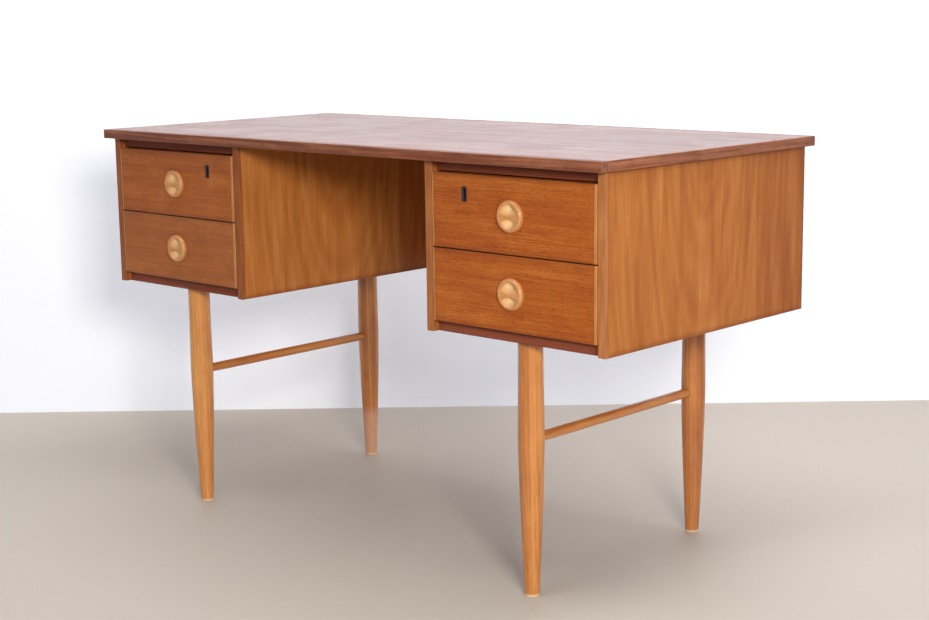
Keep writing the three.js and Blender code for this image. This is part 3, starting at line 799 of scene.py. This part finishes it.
def pullHeight(x, z, radius, proud, look):
    # height of the pull's face above the drawer front, and how deep in a scoop it lies, from 0 to 1
    rim = radius - math.hypot(x, z)
    height = proud
    if rim < look["rimRound"]:
        t = 1 - rim / look["rimRound"]
        height -= look["rimRound"] * (1 - math.sqrt(max(0.0, 1 - t * t)))
    inward = min(1.0, max(0.0, (rim - look["dishFrom"]) / look["dishEase"]))
    height -= look["dish"] * inward * inward * (3 - 2 * inward)
    reach = radius - look["scoopInset"]
    edge = reach - math.hypot(x * look["scoopSquash"], z)

    def scoop(gap, offset, edgePower, gapPower):
        # a round bowl between the pull's rim and the bridge
        if edge <= 0 or gap <= 0:
            return 0.0
        half = (reach - offset) / 2
        bowl = (edge / half) ** edgePower * (gap / half) ** gapPower
        return bowl * bowl / (bowl + look["scoopSoft"])

    aboveBridge = z - look["bridgeTop"] - look["upperArch"] * x * x
    belowBridge = -look["bridgeFoot"] - look["lowerArch"] * x * x - z
    upper = scoop(aboveBridge, look["bridgeTop"], look["steep"], look["gentle"])
    lower = scoop(belowBridge, look["bridgeFoot"], look["gentle"], look["steep"])
    hollow = max(upper, lower)
    return height - look["scoopDepth"] * hollow, hollow


def pull(node, seed):
    low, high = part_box(node)
    centre = (low + high) / 2
    radius = (high.x - low.x) / 2
    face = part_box(node.replace("_knob", "_front"))[0].y
    proud = face - low.y
    look = pullLook
    made = bmesh.new()
    angles = [2 * math.pi * s / look["spokes"] for s in range(look["spokes"])]
    hollows = []
    loops = []
    for i in range(1, look["rings"] + 1):
        r = radius * math.sin(i / look["rings"] * math.pi / 2)
        loop = []
        for a in angles:
            x, z = r * math.cos(a), r * math.sin(a)
            height, hollow = pullHeight(x, z, radius, proud, look)
            hollows.append(min(1.0, hollow))
            loop.append((centre.x + x, face - height, centre.z + z))
        loops.append(loop)
    spigot = look["spigot"] * radius
    for r, y in ((radius, face), (spigot, face), (spigot, high.y)):
        loops.append([(centre.x + r * math.cos(a), y, centre.z + r * math.sin(a)) for a in angles])
    rings = loftLoops(made, loops, closeEnd=True)
    hub = made.verts.new((centre.x, face - pullHeight(0, 0, radius, proud, look)[0], centre.z))
    for i in range(look["spokes"]):
        made.faces.new((hub, rings[0][i], rings[0][(i + 1) % look["spokes"]]))
    mesh = smoothMesh(made, node + ".shape", math.radians(60))
    markWood(mesh, "xzy", seed)
    depths = mesh.attributes.new("scooped", "FLOAT", "POINT")
    plain = len(mesh.vertices) - len(hollows)  # the rim's back, the spigot and the hub have no scoop
    depths.data.foreach_set("value", hollows + [0.0] * plain)
    standIn(node, ".wood", mesh, "beech_knob")


for word in words:
    for level in levels:
        pull(f"{word}_{level}_drawer_knob", f"{word}{level}pull")
print("pulls made")


# foot, top and tenon are radii; the thickest place lies bellyDrop under the shoulder
legLook = {
    "around": 72, "steps": 90, "foot": 0.012, "footRound": 0.0015, "footRoundSteps": 6, "top": 0.0205,
    "bellyDrop": 0.148, "taperPower": 1.45, "tenon": 0.0125, "tenonLength": 0.012, "soleGap": 0.001,
    "bareFoot": 0.004,
    "tone": {"left_front": 0.03, "right_front": -0.05, "left_rear": -0.14, "right_rear": -0.14},
    "tintShare": {"left_front": 0.0, "right_front": 0.0, "left_rear": 1.0, "right_rear": 0.0},
}
# neck, end and swell are shares of the stretcher's full radius
stretcherLook = {
    "around": 48, "steps": 24, "bevel": 0.001, "tip": 0.9, "neck": 0.96, "end": 0.965, "swell": 0.035,
    "tone": -0.12,
}


def legOutline(height, belly, look):
    # radius and height pairs from the floor to the tip of the tenon
    bellyZ = height - look["bellyDrop"]
    foot, bend = look["foot"], look["footRound"]
    outline = [(0.0, 0.0), (foot - bend - look["soleGap"], 0.0)]
    for i in range(look["footRoundSteps"] + 1):
        a = math.pi / 2 * i / look["footRoundSteps"]
        outline.append((foot - bend * (1 - math.sin(a)), bend * (1 - math.cos(a))))
    for i in range(1, look["steps"] + 1):
        z = bend + (height - bend) * i / look["steps"]
        if z < bellyZ:
            r = foot + (belly - foot) * (1 - (1 - z / bellyZ) ** look["taperPower"])
        else:
            s = (z - bellyZ) / (height - bellyZ)
            r = belly - (belly - look["top"]) * s * (2 - s)
        outline.append((r, z))
    tenonTop = height + look["tenonLength"]
    outline += [(look["tenon"], height), (look["tenon"], tenonTop), (0.0, tenonTop)]
    return outline


def turn(outline, centre, axis, around):
    # spins (radius, distance) pairs about a line through centre along axis 1 (y) or 2 (z)
    made = bmesh.new()

    def point(r, along, s):
        a = 2 * math.pi * s / around
        if axis == 2:
            return (centre[0] + r * math.cos(a), centre[1] + r * math.sin(a), along)
        return (centre[0] + r * math.cos(a), along, centre[2] + r * math.sin(a))

    inner = [pair for pair in outline if pair[0] > 1e-6]
    rings = loftLoops(made, [[point(r, along, s) for s in range(around)] for r, along in inner])
    for ring, along in ((rings[0], outline[0][1]), (rings[-1], outline[-1][1])):
        hub = made.verts.new(point(0.0, along, 0))
        for i in range(around):
            made.faces.new((hub, ring[i], ring[(i + 1) % around]))
    return made


def showTurned(node, mesh, grain, tone, bareFoot, tintShare):
    markWood(mesh, grain, node, tone)
    storeNumber(mesh, "bareFoot", bareFoot)
    storeNumber(mesh, "tintShare", tintShare)
    standIn(node, ".wood", mesh, "beech_leg")


def leg(place):
    node = place + "_leg"
    low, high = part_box(node)
    centre = (low + high) / 2
    outline = legOutline(high.z - legLook["tenonLength"], (high.x - low.x) / 2, legLook)
    mesh = smoothMesh(turn(outline, centre, 2, legLook["around"]), node + ".shape")
    showTurned(node, mesh, "zxy", legLook["tone"][place], legLook["bareFoot"], legLook["tintShare"][place])


def stretcher(node):
    # a dowel that thins a little towards its shouldered ends
    look = stretcherLook
    low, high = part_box(node)
    centre = (low + high) / 2
    full = (high.x - low.x) / 2
    length = high.y - low.y
    bevel = look["bevel"]
    outline = [(0.0, low.y), (full * look["tip"], low.y), (full * look["neck"], low.y + bevel)]
    for i in range(look["steps"] + 1):
        t = i / look["steps"]
        swell = math.sin(math.pi * t) ** 0.5
        outline.append((full * (look["end"] + look["swell"] * swell),
                        low.y + 2 * bevel + (length - 4 * bevel) * t))
    outline += [(full * look["neck"], high.y - bevel), (full * look["tip"], high.y), (0.0, high.y)]
    mesh = smoothMesh(turn(outline, centre, 1, look["around"]), node + ".shape", math.radians(50))
    showTurned(node, mesh, "yxz", look["tone"], -1.0, 0.0)  # no bare foot, not aged


for word in words:
    leg(word + "_front")
    leg(word + "_rear")
    stretcher(word + "_stretcher")
print("legs made")


# the rim rounds over by rimSteps, pairs of an inward step and a depth behind the plate's face
plateLook = {
    "corner": 0.0035, "points": 48, "slotWidth": 0.005, "slotHeight": 0.017, "slotBevel": 0.0005,
    "sunk": 0.0005, "rimSteps": ((0.0, 0.0004), (0.0003, 0.0), (0.0011, 0.0)), "rimInner": 0.0016,
}


def roundedLoop(centre, half, y, corner, count):
    # a rounded rectangle as evenly counted points, so that loops of one count can be joined
    loop = []
    perCorner = count // 4
    for quarter, (sx, sz) in enumerate(((1, 1), (-1, 1), (-1, -1), (1, -1))):
        cx, cz = centre[0] + sx * (half[0] - corner), centre[1] + sz * (half[1] - corner)
        for i in range(perCorner):
            a = math.pi / 2 * (quarter + i / (perCorner - 1))
            loop.append((cx + corner * math.cos(a), y, cz + corner * math.sin(a)))
    return loop


def keyPlate(node):
    look = plateLook
    low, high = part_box(node)
    back = high.y - low.y
    count = look["points"]
    middle = (low.x + high.x) / 2, (low.z + high.z) / 2
    halfX, halfZ = (high.x - low.x) / 2, (high.z - low.z) / 2
    slotX, slotZ = look["slotWidth"] / 2, look["slotHeight"] / 2
    made = bmesh.new()
    loops = []
    for step, depth in ((0.0, back), *look["rimSteps"], (look["rimInner"], look["sunk"])):
        half = halfX - step, halfZ - step
        loops.append(roundedLoop(middle, half, low.y + depth, look["corner"] - step, count))
    bevelled = look["sunk"] + look["slotBevel"]
    for grow, depth in ((look["slotBevel"], look["sunk"]), (0.0, bevelled), (0.0, back)):
        half = slotX + grow, slotZ + grow
        loops.append(roundedLoop(middle, half, low.y + depth, slotX + grow - 1e-5, count))
    rings = loftLoops(made, loops)
    for i in range(count):
        j = (i + 1) % count
        made.faces.new((rings[-1][i], rings[-1][j], rings[0][j], rings[0][i]))
    bmesh.ops.remove_doubles(made, verts=made.verts, dist=1e-6)
    mesh = smoothMesh(made, node + ".shape", math.radians(30))
    markWood(mesh, "zxy", node)
    standIn(node, ".moulded", mesh, "key_plate")


lockLook = {"caseEdge": 0.0008, "boltEdge": 0.0006}


def lockPart(node, finish, soften):
    mesh = cadCopy(node, soften)
    markWood(mesh, "xzy", node)
    standIn(node, ".metal", mesh, finish)


for word in words:
    keyPlate(word + "_keyhole_plate")
    lockPart(word + "_lock_case", "lock_steel", lockLook["caseEdge"])
    lockPart(word + "_lock_bolt", "lock_brass", lockLook["boltEdge"])
print("locks made")


# radii of the heads, and how far the screws stand in from the edges of what they hold
screwLook = {
    "backHead": 0.0035, "bottomHead": 0.003, "runnerHead": 0.0027, "caseHead": 0.0022,
    "rise": 0.0004, "slotShare": 0.9 / 3.5, "slotDeep": 0.00028, "around": 20, "baseAround": 40,
    "backInset": 0.012, "backRow": 0.009, "bottomInset": 0.03, "bottomRow": 0.005, "runnerInset": 0.02,
    "caseInset": 0.004, "caseRows": (0.005, 0.030),
}


def screwHead(made, place, normal, size, turnBy):
    # a slotted, slightly domed head: two half rounds with the slot's floor between them;
    # slotShare is the slot's width as a share of the head's radius
    n = Vector(normal)
    u = n.orthogonal().normalized()
    u = Matrix.Rotation(turnBy, 3, n) @ u
    v = n.cross(u)
    half = size * screwLook["slotShare"] / 2
    floor = screwLook["slotDeep"]
    rise = screwLook["rise"]
    for side in (1, -1):
        start = math.asin(half / size)
        sweep, count = math.pi - 2 * start, screwLook["around"]
        arc = [start + sweep * i / count for i in range(count + 1)]

        def ring(scale, lift):
            points = []
            for a in arc:
                off = side * max(half, size * scale * math.sin(a))
                points.append(place + u * (size * scale * math.cos(a)) + v * off + n * lift)
            return points

        loops = [ring(1.0, -floor), ring(1.0, rise * 0.3), ring(0.85, rise * 0.8), ring(0.5, rise)]
        loftLoops(made, loops, closeStart=True, closeEnd=True)
    edge = [2 * math.pi * i / screwLook["baseAround"] for i in range(screwLook["baseAround"])]
    reach = size * 0.98
    base = [place + u * (reach * math.cos(a)) + v * (reach * math.sin(a)) - n * floor * 0.5 for a in edge]
    under = [p - n * floor * 0.6 for p in base]
    loftLoops(made, [under, base], closeStart=True, closeEnd=True)


def screws(name, node, places, normal, size):
    made = bmesh.new()
    chance = random.Random(name)
    for place in places:
        screwHead(made, Vector(place), normal, size, chance.uniform(0, math.pi))
    mesh = smoothMesh(made, name, math.radians(40))
    markWood(mesh, "xyz", name)
    showPiece(name, mesh, "screw", node)


def spread(start, stop, inset):
    # two places near the ends and one in the middle
    return start + inset, (start + stop) / 2, stop - inset


def backScrews(word):
    node = word + "_back_panel"
    low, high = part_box(node)
    columns = spread(low.x, high.x, screwLook["backInset"])
    rows = spread(low.z, high.z, screwLook["backRow"])
    places = [(x, high.y, z) for x in columns for z in (rows[0], rows[2])]
    places += [(x, high.y, rows[1]) for x in (low.x + screwLook["backRow"], high.x - screwLook["backRow"])]
    screws(node + ".screws", node, places, (0, 1, 0), screwLook["backHead"])


def bottomScrews(drawer):
    node = drawer + "_bottom"
    low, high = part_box(node)
    y = high.y - screwLook["bottomRow"]
    places = [(x, y, low.z) for x in spread(low.x, high.x, screwLook["bottomInset"])]
    screws(drawer + ".bottom_screws", node, places, (0, 0, -1), screwLook["bottomHead"])


def runnerScrews(node, facesRight):
    low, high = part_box(node)
    x = high.x if facesRight else low.x
    z = (low.z + high.z) / 2
    places = [(x, y, z) for y in spread(low.y, high.y, screwLook["runnerInset"])]
    screws(node + ".screws", node, places, (1 if facesRight else -1, 0, 0), screwLook["runnerHead"])


def caseScrews(node):
    low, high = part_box(node)
    columns = low.x + screwLook["caseInset"], high.x - screwLook["caseInset"]
    places = [(x, high.y, low.z + row) for x in columns for row in screwLook["caseRows"]]
    screws(node + ".screws", node, places, (0, 1, 0), screwLook["caseHead"])


for word in words:
    backScrews(word)
    for level in levels:
        bottomScrews(f"{word}_{level}_drawer")
        for side in ("inner", "outer"):
            runnerScrews(f"{word}_{level}_{side}_runner", (side == "inner") == (word == "right"))
    caseScrews(word + "_lock_case")
print("screws made")


stageLook = {
    "floor": "bfb4a6", "floorHalf": 9.0, "floorRoughness": 0.5,
    "wall": "eff3fb", "wallDistance": 3.93, "wallWidth": 9.0, "wallHeight": 3.4, "wallRoughness": 0.7,
    "wallGlow": 0.13, "glowColor": "f4f7ff", "uneven": "b8b4b0", "unevenShare": 0.06,
    "gritRoughness": 0.1, "gritBump": 0.0002, "bumpStrength": 0.3, "room": "eef1f6", "roomStrength": 0.28,
}
cameraLook = {
    "place": (2.1150, -2.2131, 0.9430), "turn": 42.83, "tilt": -10.21, "roll": -0.79, "lens": 65.14,
}


def stageFinish(name, code, roughness, seeThroughBack=False):
    look = stageLook
    material, tree, shader = startMaterial(name)
    spot = addNode(tree, "ShaderNodeTexCoord").outputs["Object"]
    surface = fillGroup(tree, stageGrit, {"Place": spot})
    color = layColor(tree, paint(code), surface["Uneven"], look["unevenShare"], look["uneven"])
    put(tree, shader.inputs["Base Color"], color)
    grit = surface["Grit"]
    put(tree, shader.inputs["Roughness"], plus(tree, roughness, times(tree, grit, look["gritRoughness"])))
    roughen(tree, shader, grit, look["gritBump"], look["bumpStrength"])
    if seeThroughBack:
        shader.inputs["Emission Color"].default_value = paint(look["glowColor"])
        shader.inputs["Emission Strength"].default_value = look["wallGlow"]
        clear = addNode(tree, "ShaderNodeBsdfTransparent")
        behind = addNode(tree, "ShaderNodeNewGeometry").outputs["Backfacing"]
        mixed = addNode(tree, "ShaderNodeMixShader", {0: behind, 1: shader.outputs[0], 2: clear.outputs[0]})
        output = next(n for n in tree.nodes if n.type == "OUTPUT_MATERIAL")
        tree.links.new(mixed.outputs[0], output.inputs["Surface"])
    return material


def stagePlane(name, corners, material):
    mesh = bpy.data.meshes.new(name)
    mesh.from_pydata(corners, [], [(0, 1, 2, 3)])
    made = bpy.data.objects.new(name, mesh)
    scene.collection.objects.link(made)
    mesh.materials.append(material)


turnAngle = math.radians(cameraLook["turn"])
ahead = Vector((-math.sin(turnAngle), math.cos(turnAngle), 0))
aside = Vector((math.cos(turnAngle), math.sin(turnAngle), 0))
eye = Vector(cameraLook["place"])
reach = stageLook["floorHalf"]
floorFinish = stageFinish("paleFloor", stageLook["floor"], stageLook["floorRoughness"])
corners = [(-reach, -reach, 0), (reach, -reach, 0), (reach, reach, 0), (-reach, reach, 0)]
stagePlane("floor", corners, floorFinish)
wallMiddle = Vector((eye.x, eye.y, 0)) + ahead * stageLook["wallDistance"]
halfWall = aside * stageLook["wallWidth"] / 2
upward = Vector((0, 0, stageLook["wallHeight"]))
wallStart, wallEnd = wallMiddle - halfWall, wallMiddle + halfWall
wallFinish = stageFinish("paleWall", stageLook["wall"], stageLook["wallRoughness"], True)
stagePlane("backdrop", [wallStart, wallEnd, wallEnd + upward, wallStart + upward], wallFinish)

# powers in watts; place and aim in metres
lightLook = {
    "key": {"place": (2.75, -2.1, 1.45), "aim": (0.2, 0.0, 0.5), "size": (0.7, 0.55), "power": 90,
            "color": "fffaf2"},
    "fill": {"place": (-1.6, -3.2, 1.7), "aim": (0.0, 0.0, 0.5), "size": (2.4, 2.0), "power": 7,
             "color": "f2f6ff"},
    "wallWash": {"place": (0.9, -0.2, 3.2), "aim": (-0.9, 1.0, 0.9), "size": (3.0, 0.8), "power": 85,
                 "color": "f2f6ff"},
}


def softLight(name, look):
    data = bpy.data.lights.new(name, "AREA")
    data.shape = "RECTANGLE"
    data.size, data.size_y = look["size"]
    data.energy = look["power"]
    data.color = paint(look["color"])[:3]
    made = bpy.data.objects.new(name, data)
    made.location = look["place"]
    made.rotation_euler = (Vector(look["aim"]) - Vector(look["place"])).to_track_quat("-Z", "Y").to_euler()
    made.visible_camera = False
    scene.collection.objects.link(made)


for name, look in lightLook.items():
    softLight(name, look)

world = bpy.data.worlds.new("softRoom")
world.use_nodes = True
background = world.node_tree.nodes["Background"]
background.inputs["Color"].default_value = paint(stageLook["room"])
background.inputs["Strength"].default_value = stageLook["roomStrength"]
scene.world = world
scene.view_settings.view_transform = "Standard"

tilt, roll = math.radians(cameraLook["tilt"]), math.radians(cameraLook["roll"])
forward = ahead * math.cos(tilt) + Vector((0, 0, math.sin(tilt)))
above = aside.cross(forward)
rolledAside = aside * math.cos(roll) + above * math.sin(roll)
rolledAbove = above * math.cos(roll) - aside * math.sin(roll)
cameraData = bpy.data.cameras.new("deskCamera")
cameraData.sensor_width = 36
cameraData.lens = cameraLook["lens"]
deskCamera = bpy.data.objects.new("deskCamera", cameraData)
axes = Matrix((rolledAside, rolledAbove, -forward)).transposed().to_4x4()
deskCamera.matrix_world = Matrix.Translation(eye) @ axes
scene.collection.objects.link(deskCamera)
scene.camera = deskCamera
print("stage, lights and camera ready")
